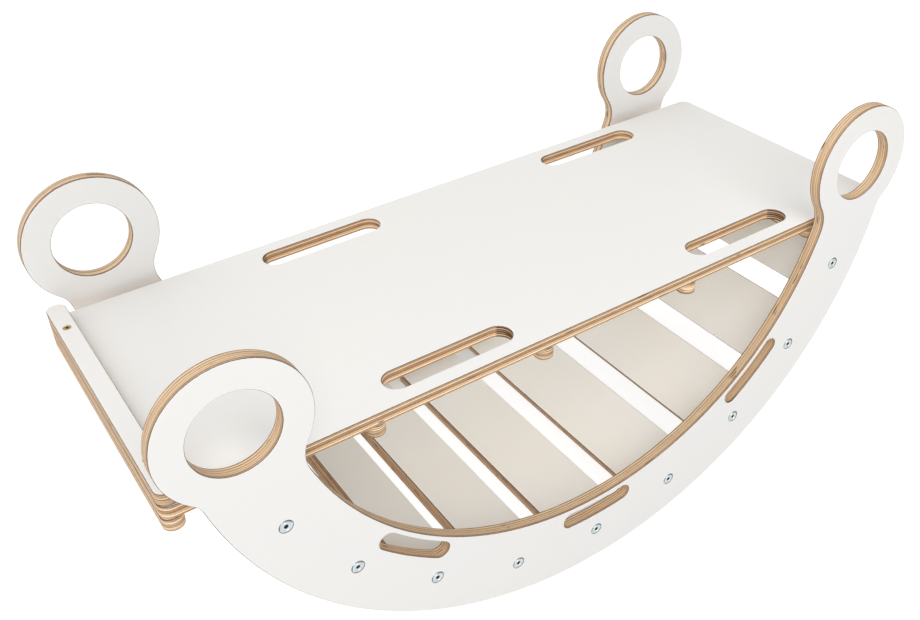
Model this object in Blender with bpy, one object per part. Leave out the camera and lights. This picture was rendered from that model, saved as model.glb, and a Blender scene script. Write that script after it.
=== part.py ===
"""A child's birch-ply rocker with a lift-out play board.

Two crescent side panels with four ring handles carry nine slats on connector bolts and barrel nuts.
The board lies on the two end slats; it has an end batten on top and five rungs below.
Metres, +Z up, X along the rocker, the arcs touch the floor at the origin.
"""

import math

import bmesh
import bpy
from mathutils import Vector
from mathutils.geometry import tessellate_polygon

MM = 0.001

# Sheet stock and running clearances
PLY = 15.0 * MM
ARRIS = 0.8 * MM
GAP = 0.3 * MM
BORE_CLEARANCE = 0.6 * MM
CUT_MARGIN = 5.0 * MM

# Side panels: a crescent between two arcs, ending in ring handles
PANEL_SPACING = 385.0 * MM
OUTER_RADIUS = 458.0 * MM
INNER_RADIUS = 363.0 * MM
INNER_CENTRE_Z = 461.0 * MM
RING_X = 402.0 * MM
RING_Z = 411.0 * MM
RING_RADIUS = 75.0 * MM
RING_HOLE_RADIUS = 44.0 * MM
OUTER_FILLET = 25.0 * MM
INNER_FILLET = 40.0 * MM
GRIP_RADIUS = 377.5 * MM
GRIP_WIDTH = 20.5 * MM
GRIP_LENGTH = 99.0 * MM
GRIP_PITCHES = (-2.5, 0.0, 2.5)

# Slats, one at each bolt of the bolt circle
SLAT_COUNT = 9
BOLT_CIRCLE = 413.4 * MM
BOLT_PITCH = math.radians(16.22)
SLAT_WIDTH = 88.0 * MM
SLAT_LENGTH = PANEL_SPACING - 2 * GAP

# Flat-head connector bolts, sunk flush in the panels
BOLT_HEAD_RADIUS = 7.5 * MM
BOLT_HEAD_HEIGHT = 2.0 * MM
BOLT_HEAD_CHAMFER = 0.6 * MM
BOLT_SHANK_RADIUS = 3.0 * MM
BOLT_SHANK_LENGTH = 52.0 * MM
BOLT_SOCKET_FLATS = 4.0 * MM
BOLT_SOCKET_DEPTH = 2.4 * MM
COUNTERBORE_RADIUS = 8.2 * MM
COUNTERBORE_DEPTH = 2.4 * MM

# Barrel nuts, let into the slats from their outer face
NUT_RADIUS = 4.9 * MM
NUT_LENGTH = 12.0 * MM
NUT_FROM_END = 32.0 * MM
NUT_BORE_DEPTH = 13.8 * MM
NUT_SLOT_WIDTH = 1.4 * MM
NUT_SLOT_DEPTH = 1.2 * MM
SLAT_BORE_DEPTH = 42.0 * MM

# Play board with four grip slots
BOARD_LENGTH = 950.0 * MM
BOARD_WIDTH = 361.0 * MM
BOARD_X = 2.0 * MM
BOARD_CORNER = 12.0 * MM
BOARD_SLOT_LENGTH = 155.5 * MM
BOARD_SLOT_WIDTH = 32.5 * MM
BOARD_SLOT_Y = 144.8 * MM

# Rungs under the board and the batten above the first of them
RUNG_COUNT = 5
RUNG_WIDTH = 21.0 * MM
RUNG_PITCH = 207.0 * MM
RUNG_FIRST_X = BOARD_X - BOARD_LENGTH / 2 + RUNG_WIDTH / 2

# Screws holding batten, board and first rung together
SCREW_Y = 127.0 * MM
SCREW_HEAD_RADIUS = 4.2 * MM
SCREW_HEAD_HEIGHT = 2.6 * MM
SCREW_RIM = 0.3 * MM
SCREW_SHANK_RADIUS = 2.0 * MM
SCREW_LENGTH = 40.0 * MM
SCREW_TIP_LENGTH = 7.0 * MM
SCREW_TIP_RADIUS = 0.4 * MM
SCREW_SOCKET_FLATS = 3.0 * MM
SCREW_SOCKET_DEPTH = 2.0 * MM
SCREW_BORE_RADIUS = 2.4 * MM

# Facets for round features
ARC_STEP = 28.0 * MM
CURVE_STEP = 10.0 * MM
SLOT_END_STEPS = 5
BORE_FACETS = 10
BOLT_FACETS = 12
FILLET_STEPS = (3, 5)
GRIP_ARC_STEPS = 4
CORNER_STEPS = 4
SHARP_ANGLE = math.radians(35)

OUTER_CENTRE = Vector((0.0, OUTER_RADIUS))
INNER_CENTRE = Vector((0.0, INNER_CENTRE_Z))
RING_CENTRE = Vector((RING_X, RING_Z))

WHITE_PLY = ((0.86, 0.85, 0.83), 0.45, 0.0)
ZINC = ((0.62, 0.66, 0.70), 0.32, 1.0)
BRASS = ((0.72, 0.56, 0.26), 0.35, 1.0)


def clear_scene():
    for obj in list(bpy.data.objects):
        bpy.data.objects.remove(obj, do_unlink=True)


def make_material(name, finish):
    """One Principled material for one sub-part."""
    colour, roughness, metallic = finish
    material = bpy.data.materials.new(name)
    material.use_nodes = True
    shader = material.node_tree.nodes["Principled BSDF"]
    shader.inputs["Base Color"].default_value = (*colour, 1.0)
    shader.inputs["Roughness"].default_value = roughness
    shader.inputs["Metallic"].default_value = metallic
    return material


# ---------------------------------------------------------------- plane curves


def polar(centre, radius, angle):
    return Vector((centre.x + radius * math.cos(angle), centre.y + radius * math.sin(angle)))


def arc(centre, radius, start, end, steps):
    """Points from one angle to the other, both included."""
    return [polar(centre, radius, start + (end - start) * i / steps) for i in range(steps + 1)]


def arc_by_length(centre, radius, start, end, step):
    steps = max(3, math.ceil(abs(end - start) * radius / step))
    return arc(centre, radius, start, end, steps)


def circle(centre, radius, facets):
    """A closed clockwise circle, the direction used for holes."""
    return arc(centre, radius, 0.0, -math.tau, facets)[:-1]


def ring_points(radius, facets, depth, turn=0.0):
    """A closed anticlockwise circle at a height, for turned parts."""
    angles = [turn + math.tau * i / facets for i in range(facets)]
    return [Vector((radius * math.cos(a), radius * math.sin(a), depth)) for a in angles]


def heading(vector):
    return math.atan2(vector.y, vector.x)


def meeting_point_below(centre_a, radius_a, centre_b, radius_b):
    """The lower crossing of two circles."""
    across = centre_b - centre_a
    distance = across.length
    along = (radius_a**2 - radius_b**2 + distance**2) / (2 * distance)
    height = math.sqrt(radius_a**2 - along**2)
    unit = across / distance
    foot = centre_a + unit * along
    candidates = [foot + Vector((-unit.y, unit.x)) * side for side in (height, -height)]
    return min(candidates, key=lambda point: point.y)


def stadium(centre, length, width, steps):
    """A closed anticlockwise slot outline lying along X."""
    radius = width / 2
    half = Vector((length / 2 - radius, 0.0))
    right = arc(centre + half, radius, -math.pi / 2, math.pi / 2, steps)
    left = arc(centre - half, radius, math.pi / 2, 3 * math.pi / 2, steps)
    return right + left


def rounded_rectangle(length, width, radius, steps):
    """A closed anticlockwise rectangle about the origin with rounded corners."""
    points = []
    for quarter, (sx, sy) in enumerate(((1, -1), (1, 1), (-1, 1), (-1, -1))):
        corner = Vector((sx * (length / 2 - radius), sy * (width / 2 - radius)))
        start = -math.pi / 2 + quarter * math.pi / 2
        points += arc(corner, radius, start, start + math.pi / 2, steps)
    return points


def inset(points, amount):
    """Moves a closed loop to the left of its travel, into the material."""
    moved = []
    count = len(points)
    for i, point in enumerate(points):
        before = (point - points[i - 1]).normalized()
        after = (points[(i + 1) % count] - point).normalized()
        tangent = (before + after).normalized()
        stretch = 1.0 / max(0.5, tangent.dot(after))
        moved.append(point + Vector((-tangent.y, tangent.x)) * amount * stretch)
    return moved


# ---------------------------------------------------------------- solids from rings


def lift(points, height):
    return [Vector((p.x, p.y, height)) for p in points]


def arrised_rings(points, thickness=PLY):
    """Rings from the top face to the bottom face of a sheet edge with broken arrises."""
    face = inset(points, ARRIS)
    return [
        lift(face, thickness),
        lift(points, thickness - ARRIS),
        lift(points, ARRIS),
        lift(face, 0.0),
    ]


def bored_rings(centre, steps, facets):
    """Rings of a round bore given as (radius, height) pairs from the top down."""
    return [lift(circle(centre, radius, facets), height) for radius, height in steps]


def add_ring(mesh, points):
    return [mesh.verts.new(point) for point in points]


def bridge(mesh, upper, lower):
    count = len(upper)
    for i in range(count):
        j = (i + 1) % count
        mesh.faces.new((upper[i], lower[i], lower[j], upper[j]))


def cap(mesh, loops):
    """Fills a flat face bounded by its outline and the holes in it."""
    flat = [vert for loop in loops for vert in loop]
    triangles = tessellate_polygon([[vert.co for vert in loop] for loop in loops])
    for triangle in triangles:
        mesh.faces.new([flat[index] for index in triangle])


def solid(name, outer, finish, through=(), blind=()):
    """A closed body: an outer wall, holes right through it and blind holes from its top."""
    mesh = bmesh.new()
    tops = []
    bottoms = []
    for rings in (outer, *through, *blind):
        loops = [add_ring(mesh, ring) for ring in rings]
        for upper, lower in zip(loops, loops[1:]):
            bridge(mesh, upper, lower)
        tops.append(loops[0])
        bottoms.append(loops[-1])
    cap(mesh, tops)
    cap(mesh, bottoms[: 1 + len(through)])
    for floor in bottoms[1 + len(through):]:
        cap(mesh, [floor])
    return finish_object(name, mesh, finish)


def finish_object(name, mesh, finish):
    bmesh.ops.recalc_face_normals(mesh, faces=mesh.faces)
    data = bpy.data.meshes.new(name)
    mesh.to_mesh(data)
    mesh.free()
    data.shade_smooth()
    data.set_sharp_from_angle(angle=SHARP_ANGLE)
    obj = bpy.data.objects.new(name, data)
    bpy.context.scene.collection.objects.link(obj)
    if finish is not None:
        data.materials.append(make_material(name, finish))
    return obj


def add_empty(name, location):
    empty = bpy.data.objects.new(name, None)
    empty.location = location
    bpy.context.scene.collection.objects.link(empty)
    return empty


def place(obj, parent, location, rotation=(0.0, 0.0, 0.0)):
    obj.parent = parent
    obj.location = location
    obj.rotation_euler = rotation
    return obj


# ---------------------------------------------------------------- cutters


def cutter(name, mesh):
    obj = finish_object(name, mesh, None)
    obj.hide_render = True
    obj.display_type = "WIRE"
    return obj


def add_rod(mesh, radius, start, end, facets):
    """A closed cylinder between two points of an axis-parallel line."""
    axis = (end - start).normalized()
    turn = Vector((0.0, 0.0, 1.0)).rotation_difference(axis).to_matrix()
    loops = []
    for foot in (start, end):
        loops.append(add_ring(mesh, [foot + turn @ p for p in ring_points(radius, facets, 0.0)]))
    bridge(mesh, loops[0], loops[1])
    cap(mesh, [loops[0]])
    cap(mesh, [loops[1]])


def subtract(obj, tool):
    modifier = obj.modifiers.new(tool.name, "BOOLEAN")
    modifier.operation = "DIFFERENCE"
    modifier.solver = "EXACT"
    modifier.object = tool


# ---------------------------------------------------------------- side panels


def panel_half_outline():
    """Right half of the crescent, from the floor round the ring handle to the inner arc."""
    outer_fillet = meeting_point_below(
        OUTER_CENTRE, OUTER_RADIUS + OUTER_FILLET, RING_CENTRE, RING_RADIUS + OUTER_FILLET
    )
    inner_fillet = meeting_point_below(
        INNER_CENTRE, INNER_RADIUS - INNER_FILLET, RING_CENTRE, RING_RADIUS + INNER_FILLET
    )
    outer_end = heading(outer_fillet - OUTER_CENTRE)
    inner_end = heading(inner_fillet - INNER_CENTRE)
    ring_start = heading(outer_fillet - RING_CENTRE)
    ring_end = heading(inner_fillet - RING_CENTRE) + math.tau
    pieces = (
        arc_by_length(OUTER_CENTRE, OUTER_RADIUS, -math.pi / 2, outer_end, ARC_STEP),
        arc(outer_fillet, OUTER_FILLET, outer_end + math.pi, ring_start + math.pi, FILLET_STEPS[0]),
        arc_by_length(RING_CENTRE, RING_RADIUS, ring_start, ring_end, CURVE_STEP),
        arc(inner_fillet, INNER_FILLET, ring_end - math.pi, inner_end, FILLET_STEPS[1]),
        arc_by_length(INNER_CENTRE, INNER_RADIUS, inner_end, -math.pi / 2, ARC_STEP),
    )
    points = list(pieces[0])
    for piece in pieces[1:]:
        points += piece[1:]
    return points


def mirrored(point):
    return Vector((-point.x, point.y))


def panel_outline():
    half = panel_half_outline()
    return half + [mirrored(point) for point in reversed(half[1:-1])]


def grip_outline(pitches):
    """A slot bent along the crescent, with round ends."""
    middle = -math.pi / 2 + pitches * BOLT_PITCH
    radius = GRIP_WIDTH / 2
    reach = (GRIP_LENGTH / 2 - radius) / GRIP_RADIUS
    first = polar(OUTER_CENTRE, GRIP_RADIUS, middle - reach)
    last = polar(OUTER_CENTRE, GRIP_RADIUS, middle + reach)
    low, high = middle - reach, middle + reach
    points = arc(OUTER_CENTRE, GRIP_RADIUS + radius, high, low, GRIP_ARC_STEPS)
    points += arc(first, radius, low, low - math.pi, SLOT_END_STEPS)[1:]
    points += arc(OUTER_CENTRE, GRIP_RADIUS - radius, low, high, GRIP_ARC_STEPS)[1:]
    points += arc(last, radius, high + math.pi, high, SLOT_END_STEPS)[1:-1]
    return points


def bolt_angle(index):
    return -math.pi / 2 + (index - (SLAT_COUNT - 1) / 2) * BOLT_PITCH


def panel_bolt_hole(index):
    centre = polar(OUTER_CENTRE, BOLT_CIRCLE, bolt_angle(index))
    bore = BOLT_SHANK_RADIUS + BORE_CLEARANCE / 2
    floor = PLY - COUNTERBORE_DEPTH
    steps = ((COUNTERBORE_RADIUS, PLY), (COUNTERBORE_RADIUS, floor), (bore, floor), (bore, 0.0))
    return bored_rings(centre, steps, BORE_FACETS)


def side_panel(name, parent, side):
    """Side -1 is the front panel, +1 the back panel; both wear their counterbores outside."""
    holes = []
    for mirror in (-1, 1):
        centre = Vector((mirror * RING_X, RING_Z))
        facets = math.ceil(math.tau * RING_HOLE_RADIUS / CURVE_STEP)
        holes.append(arrised_rings(circle(centre, RING_HOLE_RADIUS, facets)))
    holes += [arrised_rings(grip_outline(pitches)) for pitches in GRIP_PITCHES]
    holes += [panel_bolt_hole(index) for index in range(SLAT_COUNT)]
    panel = solid(name, arrised_rings(panel_outline()), WHITE_PLY, through=holes)
    heading_z = 0.0 if side < 0 else math.pi
    spot = (0.0, side * PANEL_SPACING / 2, 0.0)
    return place(panel, parent, spot, (math.pi / 2, 0.0, heading_z))


# ---------------------------------------------------------------- slats and their fixings


def slat_frame(index):
    """Location and rotation of a slat: local X along its width, local Z towards the arc centre."""
    angle = bolt_angle(index)
    x = BOLT_CIRCLE * math.cos(angle)
    z = OUTER_RADIUS + BOLT_CIRCLE * math.sin(angle)
    return Vector((x, 0.0, z)), (0.0, -(angle + math.pi / 2), 0.0)


def slat_blank_rings():
    """The slat's cross-section rings along its length, with broken long edges."""
    half_width = SLAT_WIDTH / 2
    half_ply = PLY / 2
    section = (
        (half_width - ARRIS, -half_ply),
        (half_width, -half_ply + ARRIS),
        (half_width, half_ply - ARRIS),
        (half_width - ARRIS, half_ply),
        (-half_width + ARRIS, half_ply),
        (-half_width, half_ply - ARRIS),
        (-half_width, -half_ply + ARRIS),
        (-half_width + ARRIS, -half_ply),
    )
    ends = (SLAT_LENGTH / 2, -SLAT_LENGTH / 2)
    return [[Vector((x, y, z)) for x, z in section] for y in ends]


def slat_bores(name, pairs, radius):
    mesh = bmesh.new()
    for start, end in pairs:
        add_rod(mesh, radius, Vector(start), Vector(end), BORE_FACETS)
    return cutter(name, mesh)


def slat(number, parent):
    location, rotation = slat_frame(number - 1)
    name = f"slat_{number}"
    blank = solid(name, slat_blank_rings(), WHITE_PLY)
    end = SLAT_LENGTH / 2
    bolt_bore = BOLT_SHANK_RADIUS + BORE_CLEARANCE / 2
    nut_bore = NUT_RADIUS + BORE_CLEARANCE / 2
    along = []
    across = []
    for side in (-1, 1):
        along.append(((0.0, side * (end + CUT_MARGIN), 0.0), (0.0, side * (end - SLAT_BORE_DEPTH), 0.0)))
        y = side * (end - NUT_FROM_END)
        floor = -PLY / 2 + NUT_BORE_DEPTH
        across.append(((0.0, y, -PLY / 2 - CUT_MARGIN), (0.0, y, floor)))
    tools = (
        slat_bores(f"cut_{name}_bolt_bores", along, bolt_bore),
        slat_bores(f"cut_{name}_nut_bores", across, nut_bore),
    )
    for tool in tools:
        place(tool, parent, location, rotation)
        subtract(blank, tool)
    return place(blank, parent, location, rotation)


def turned(name, profile, facets, socket_flats, socket_depth, finish):
    """A turned fastener with its head at local z = 0 and a hexagon socket in the head."""
    outer = [ring_points(radius, facets, height) for radius, height in profile]
    hexagon = socket_flats / math.sqrt(3)
    socket = [ring_points(hexagon, 6, height) for height in (0.0, -socket_depth)]
    return solid(name, outer, finish, blind=(socket,))


def connector_bolt(name, number, parent, side):
    tip = -BOLT_HEAD_HEIGHT - BOLT_SHANK_LENGTH
    profile = (
        (BOLT_HEAD_RADIUS - BOLT_HEAD_CHAMFER, 0.0),
        (BOLT_HEAD_RADIUS, -BOLT_HEAD_CHAMFER),
        (BOLT_HEAD_RADIUS, -BOLT_HEAD_HEIGHT),
        (BOLT_SHANK_RADIUS, -BOLT_HEAD_HEIGHT),
        (BOLT_SHANK_RADIUS, tip + BOLT_HEAD_CHAMFER),
        (BOLT_SHANK_RADIUS - BOLT_HEAD_CHAMFER, tip),
    )
    bolt = turned(name, profile, BOLT_FACETS, BOLT_SOCKET_FLATS, BOLT_SOCKET_DEPTH, ZINC)
    centre, _ = slat_frame(number - 1)
    head_face = PANEL_SPACING / 2 + PLY - COUNTERBORE_DEPTH + GAP + BOLT_HEAD_HEIGHT
    turn = math.pi / 2 if side < 0 else -math.pi / 2
    return place(bolt, parent, (centre.x, side * head_face, centre.z), (turn, 0.0, 0.0))


def barrel_nut(name, number, parent, side):
    """A slotted barrel with a cross hole for the bolt; local Z is the barrel's axis."""
    half = NUT_LENGTH / 2
    rings = [ring_points(NUT_RADIUS, BORE_FACETS, height) for height in (half, -half)]
    nut = solid(name, rings, ZINC)
    location, rotation = slat_frame(number - 1)
    turn = Vector((0.0, side * (SLAT_LENGTH / 2 - NUT_FROM_END), 0.0))
    hole = bmesh.new()
    reach = Vector((0.0, 2 * NUT_RADIUS, 0.0))
    add_rod(hole, BOLT_SHANK_RADIUS + BORE_CLEARANCE / 2, -reach, reach, BORE_FACETS)
    slot = bmesh.new()
    add_box(slot, Vector((4 * NUT_RADIUS, NUT_SLOT_WIDTH, 2 * NUT_SLOT_DEPTH)), Vector((0.0, 0.0, -half)))
    tools = (cutter(f"cut_{name}_hole", hole), cutter(f"cut_{name}_slot", slot))
    for tool in tools:
        place(tool, parent, location + turn, rotation)
        subtract(nut, tool)
    return place(nut, parent, location + turn, rotation)


def add_box(mesh, size, centre):
    half = size / 2
    corners = ((1, 1), (-1, 1), (-1, -1), (1, -1))
    loops = []
    for level in (half.z, -half.z):
        points = [centre + Vector((sx * half.x, sy * half.y, level)) for sx, sy in corners]
        loops.append(add_ring(mesh, points))
    bridge(mesh, loops[0], loops[1])
    cap(mesh, [loops[0]])
    cap(mesh, [loops[1]])


# ---------------------------------------------------------------- play board


def board_floor():
    """Height of the board's underside, resting on the top inner corners of the end slats."""
    angle = bolt_angle(SLAT_COUNT - 1) + math.pi / 2
    middle = OUTER_RADIUS - BOLT_CIRCLE * math.cos(angle)
    rise = SLAT_WIDTH / 2 * math.sin(angle)
    shoulder = (PLY / 2 - ARRIS) * math.cos(angle)
    return middle + rise + shoulder + GAP


def rung_x(number):
    return RUNG_FIRST_X + (number - 1) * RUNG_PITCH


def play_board(parent):
    outline = rounded_rectangle(BOARD_LENGTH, BOARD_WIDTH, BOARD_CORNER, CORNER_STEPS)
    holes = []
    for left, right in ((2, 3), (4, 5)):
        x = (rung_x(left) + rung_x(right)) / 2 - BOARD_X
        for side in (-1, 1):
            centre = Vector((x, side * BOARD_SLOT_Y))
            slot = stadium(centre, BOARD_SLOT_LENGTH, BOARD_SLOT_WIDTH, SLOT_END_STEPS)
            holes.append(arrised_rings(slot[::-1]))
    for side in (-1, 1):
        centre = Vector((rung_x(1) - BOARD_X, side * SCREW_Y))
        steps = ((SCREW_BORE_RADIUS, PLY), (SCREW_BORE_RADIUS, 0.0))
        holes.append(bored_rings(centre, steps, BORE_FACETS))
    board = solid("play_board", arrised_rings(outline), WHITE_PLY, through=holes)
    return place(board, parent, (BOARD_X, 0.0, 0.0))


def crosspiece(name, parent, x, z, through=(), blind=()):
    """A narrow strip of ply across the board with half-round ends."""
    outline = stadium(Vector((0.0, 0.0)), BOARD_WIDTH, RUNG_WIDTH, SLOT_END_STEPS)
    strip = solid(name, arrised_rings(outline), WHITE_PLY, through=through, blind=blind)
    return place(strip, parent, (x, 0.0, z), (0.0, 0.0, math.pi / 2))


def end_batten(parent):
    wide = SCREW_HEAD_RADIUS + BORE_CLEARANCE / 2
    steps = (
        (wide, PLY),
        (wide, PLY - SCREW_RIM),
        (SCREW_BORE_RADIUS, PLY - SCREW_HEAD_HEIGHT - SCREW_RIM),
        (SCREW_BORE_RADIUS, 0.0),
    )
    bores = [bored_rings(Vector((side * SCREW_Y, 0.0)), steps, BORE_FACETS) for side in (-1, 1)]
    return crosspiece("end_batten", parent, rung_x(1), PLY + GAP, through=bores)


def board_rung(number, parent):
    blind = ()
    if number == 1:
        floor = PLY - (SCREW_LENGTH - 2 * PLY) - GAP
        steps = ((SCREW_BORE_RADIUS, PLY), (SCREW_BORE_RADIUS, floor))
        blind = [bored_rings(Vector((side * SCREW_Y, 0.0)), steps, BORE_FACETS) for side in (-1, 1)]
    return crosspiece(f"board_rung_{number}", parent, rung_x(number), -PLY - GAP, blind=blind)


def batten_screw(name, parent, side):
    profile = (
        (SCREW_HEAD_RADIUS, 0.0),
        (SCREW_HEAD_RADIUS, -SCREW_RIM),
        (SCREW_SHANK_RADIUS, -SCREW_HEAD_HEIGHT),
        (SCREW_SHANK_RADIUS, -SCREW_LENGTH + SCREW_TIP_LENGTH),
        (SCREW_TIP_RADIUS, -SCREW_LENGTH),
    )
    screw = turned(name, profile, BOLT_FACETS, SCREW_SOCKET_FLATS, SCREW_SOCKET_DEPTH, BRASS)
    return place(screw, parent, (rung_x(1), side * SCREW_Y, 2 * PLY + GAP))


# ---------------------------------------------------------------- assembly


def build_rocker():
    frame = add_empty("rocker_frame", (0.0, 0.0, 0.0))
    for side, label in ((-1, "front"), (1, "back")):
        side_panel(f"side_panel_{label}", frame, side)
    for number in range(1, SLAT_COUNT + 1):
        slat(number, frame)
        for side, label in ((-1, "front"), (1, "back")):
            connector_bolt(f"connector_bolt_{label}_{number}", number, frame, side)
            barrel_nut(f"barrel_nut_{label}_{number}", number, frame, side)


def build_board():
    frame = add_empty("board_frame", (0.0, 0.0, board_floor()))
    play_board(frame)
    end_batten(frame)
    for number in range(1, RUNG_COUNT + 1):
        board_rung(number, frame)
    for side, label in ((-1, "front"), (1, "back")):
        batten_screw(f"batten_screw_{label}", frame, side)


clear_scene()
build_rocker()
build_board()
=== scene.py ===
"""Looks of the birch-ply rocker with its lift-out play board.

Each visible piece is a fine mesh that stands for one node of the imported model. It has smooth arcs,
rounded arrises and a film, wood or metal material built from nodes. Metres, +Z up, X along the rocker.
"""

import math

import bmesh
import bpy
from mathutils import Matrix, Vector
from mathutils.geometry import tessellate_polygon


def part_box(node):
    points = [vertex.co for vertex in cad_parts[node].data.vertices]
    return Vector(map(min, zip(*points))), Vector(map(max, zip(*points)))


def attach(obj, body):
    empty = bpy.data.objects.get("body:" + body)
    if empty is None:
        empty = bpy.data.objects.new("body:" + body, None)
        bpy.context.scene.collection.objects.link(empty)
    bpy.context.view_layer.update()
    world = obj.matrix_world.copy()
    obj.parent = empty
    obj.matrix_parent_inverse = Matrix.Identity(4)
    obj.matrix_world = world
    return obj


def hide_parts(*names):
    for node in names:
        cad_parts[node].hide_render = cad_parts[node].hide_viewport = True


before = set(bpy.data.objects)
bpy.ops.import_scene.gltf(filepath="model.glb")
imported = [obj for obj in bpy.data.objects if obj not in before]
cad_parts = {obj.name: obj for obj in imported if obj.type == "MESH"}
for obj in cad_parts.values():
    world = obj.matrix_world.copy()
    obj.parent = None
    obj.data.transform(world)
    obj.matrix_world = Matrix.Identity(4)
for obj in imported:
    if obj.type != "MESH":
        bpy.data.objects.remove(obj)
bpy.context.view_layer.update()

MM = 0.001

# Curves of the side panels
OUTER_RADIUS = 458.0 * MM
INNER_RADIUS = 363.0 * MM
INNER_CENTRE_Z = 461.0 * MM
RING_RADIUS = 75.0 * MM
RING_HOLE_RADIUS = 44.0 * MM
OUTER_FILLET = 25.0 * MM
INNER_FILLET = 40.0 * MM
GRIP_RADIUS = 377.5 * MM
GRIP_WIDTH = 20.5 * MM
GRIP_LENGTH = 99.0 * MM
GRIP_PITCHES = (-2.5, 0.0, 2.5)
BOLT_PITCH = math.radians(16.22)

# Play board
BOARD_CORNER = 12.0 * MM
BOARD_SLOT_LENGTH = 155.5 * MM
BOARD_SLOT_WIDTH = 32.5 * MM
BOARD_SLOT_Y = 144.8 * MM

# Bolts and the counterbores that take their heads
BOLT_HEAD_RADIUS = 7.5 * MM
BOLT_FACE_RADIUS = 5.7 * MM
BOLT_BEVEL_DROP = 0.4 * MM
BOLT_RIM = 0.2 * MM
BOLT_GROOVE_INSET = 0.7 * MM
BOLT_GROOVE_WIDTH = 0.8 * MM
BOLT_GROOVE_DEPTH = 0.3 * MM
BOLT_HEAD_HEIGHT = 2.0 * MM
BOLT_SHANK_RADIUS = 3.0 * MM
BOLT_LENGTH = 54.0 * MM
BOLT_SOCKET_FLATS = 4.3 * MM
BOLT_SOCKET_DEPTH = 2.4 * MM
BOLT_SOCKET_LEAD_IN = 0.12 * MM
BOLT_TURN = math.radians(37.0)
COUNTERBORE_RADIUS = 7.68 * MM
COUNTERBORE_DEPTH = 2.4 * MM
COUNTERBORE_RIM = 0.2 * MM
BOLT_BORE_RADIUS = 3.3 * MM
BOLT_BORE_DEPTH = 42.0 * MM

# Barrel nuts
NUT_RADIUS = 4.9 * MM
NUT_LENGTH = 12.0 * MM
NUT_CHAMFER = 0.5 * MM
NUT_SLOT_WIDTH = 1.4 * MM
NUT_SLOT_DEPTH = 1.2 * MM
NUT_BORE_RADIUS = 5.2 * MM
NUT_BORE_DEPTH = 13.8 * MM

# Batten screws
SCREW_HEAD_RADIUS = 4.2 * MM
SCREW_HEAD_HEIGHT = 2.6 * MM
SCREW_RIM = 0.3 * MM
SCREW_SHANK_RADIUS = 2.0 * MM
SCREW_LENGTH = 40.0 * MM
SCREW_TIP_LENGTH = 7.0 * MM
SCREW_TIP_RADIUS = 0.4 * MM
SCREW_STAR_RADIUS = 1.9 * MM
SCREW_STAR_WAVE = 0.28 * MM
SCREW_STAR_LOBES = 6
SCREW_STAR_DEPTH = 2.0 * MM
SCREW_STAR_TAPER = 0.85
SCREW_TURN = math.radians(17.0)
SCREW_TURN_STEP = math.radians(50.0)
SCREW_POCKET_SPARE = 0.3 * MM
SCREW_BORE_RADIUS = 2.4 * MM
SCREW_SINK_RADIUS = 4.5 * MM

# How finely the meshes are cut
ARRIS = 1.1 * MM
ARRIS_STEPS = 4
FACE_BAND = 1.9 * MM
ARC_STEP = 5.0 * MM
RING_STEP = 3.0 * MM
SLOT_END_STEPS = 20
CORNER_STEPS = 10
BORE_FACETS = 40
STAR_FACETS = 60
SHARP_ANGLE = math.radians(32)
CUT_MARGIN = 5.0 * MM

SLATS = range(1, 10)
RUNGS = range(1, 6)
SIDES = ("front", "back")

# Numbers that give each piece of ply its own grain; the panels take 0 and 1
BEFORE_FIRST_SLAT = 3
DECK_SHEET = 20
BATTEN_SHEET = 21

UP = Vector((0.0, 0.0, 1.0))
ALONG = Vector((1.0, 0.0, 0.0))
ACROSS = Vector((0.0, 1.0, 0.0))


# ---------------------------------------------------------------- places, read from the frame


def centre_of(node):
    low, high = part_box(node)
    return (low + high) / 2


def thickness_of(node, axis):
    low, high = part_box(node)
    return high[axis] - low[axis]


PLY = thickness_of("play_board", 2)
OUTER_CENTRE = Vector((0.0, OUTER_RADIUS))
INNER_CENTRE = Vector((0.0, INNER_CENTRE_Z))
PANEL_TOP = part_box("side_panel_front")[1]
RING_CENTRE = Vector((PANEL_TOP.x - RING_RADIUS, PANEL_TOP.z - RING_RADIUS))


def basis(x_axis, y_axis, z_axis, origin):
    """The matrix that takes a piece's own axes and origin to these world ones."""
    rotation = Matrix((x_axis, y_axis, z_axis)).transposed()
    return Matrix.Translation(origin) @ rotation.to_4x4()


def facing_out(side, spot):
    """The matrix of a piece that stands upright at a spot and faces out of that side."""
    outward = ACROSS if side == "back" else -ACROSS
    return basis(UP.cross(outward), UP, outward, spot)


def slat_axes(number):
    """World directions of a slat's length, width and outward face."""
    spot = centre_of(f"slat_{number}")
    outward = Vector((spot.x, 0.0, spot.z - OUTER_RADIUS)).normalized()
    return ACROSS, outward.cross(ACROSS), outward


# ---------------------------------------------------------------- plane curves


def polar(centre, radius, angle):
    return Vector((centre.x + radius * math.cos(angle), centre.y + radius * math.sin(angle)))


def arc(centre, radius, start, end, steps):
    """Points from one angle to the other, both included."""
    return [polar(centre, radius, start + (end - start) * i / steps) for i in range(steps + 1)]


def arc_by_length(centre, radius, start, end, step):
    return arc(centre, radius, start, end, math.ceil(abs(end - start) * radius / step))


def hole_circle(centre, radius, facets):
    """A closed clockwise circle, the direction used for holes."""
    return arc(centre, radius, 0.0, -math.tau, facets)[:-1]


def heading(vector):
    return math.atan2(vector.y, vector.x)


def lower_crossing(centre_a, radius_a, centre_b, radius_b):
    """The lower of the two points where two circles cross."""
    across = centre_b - centre_a
    distance = across.length
    along = (radius_a**2 - radius_b**2 + distance**2) / (2 * distance)
    height = math.sqrt(radius_a**2 - along**2)
    unit = across / distance
    foot = centre_a + unit * along
    candidates = [foot + Vector((-unit.y, unit.x)) * side for side in (height, -height)]
    return min(candidates, key=lambda point: point.y)


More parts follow.
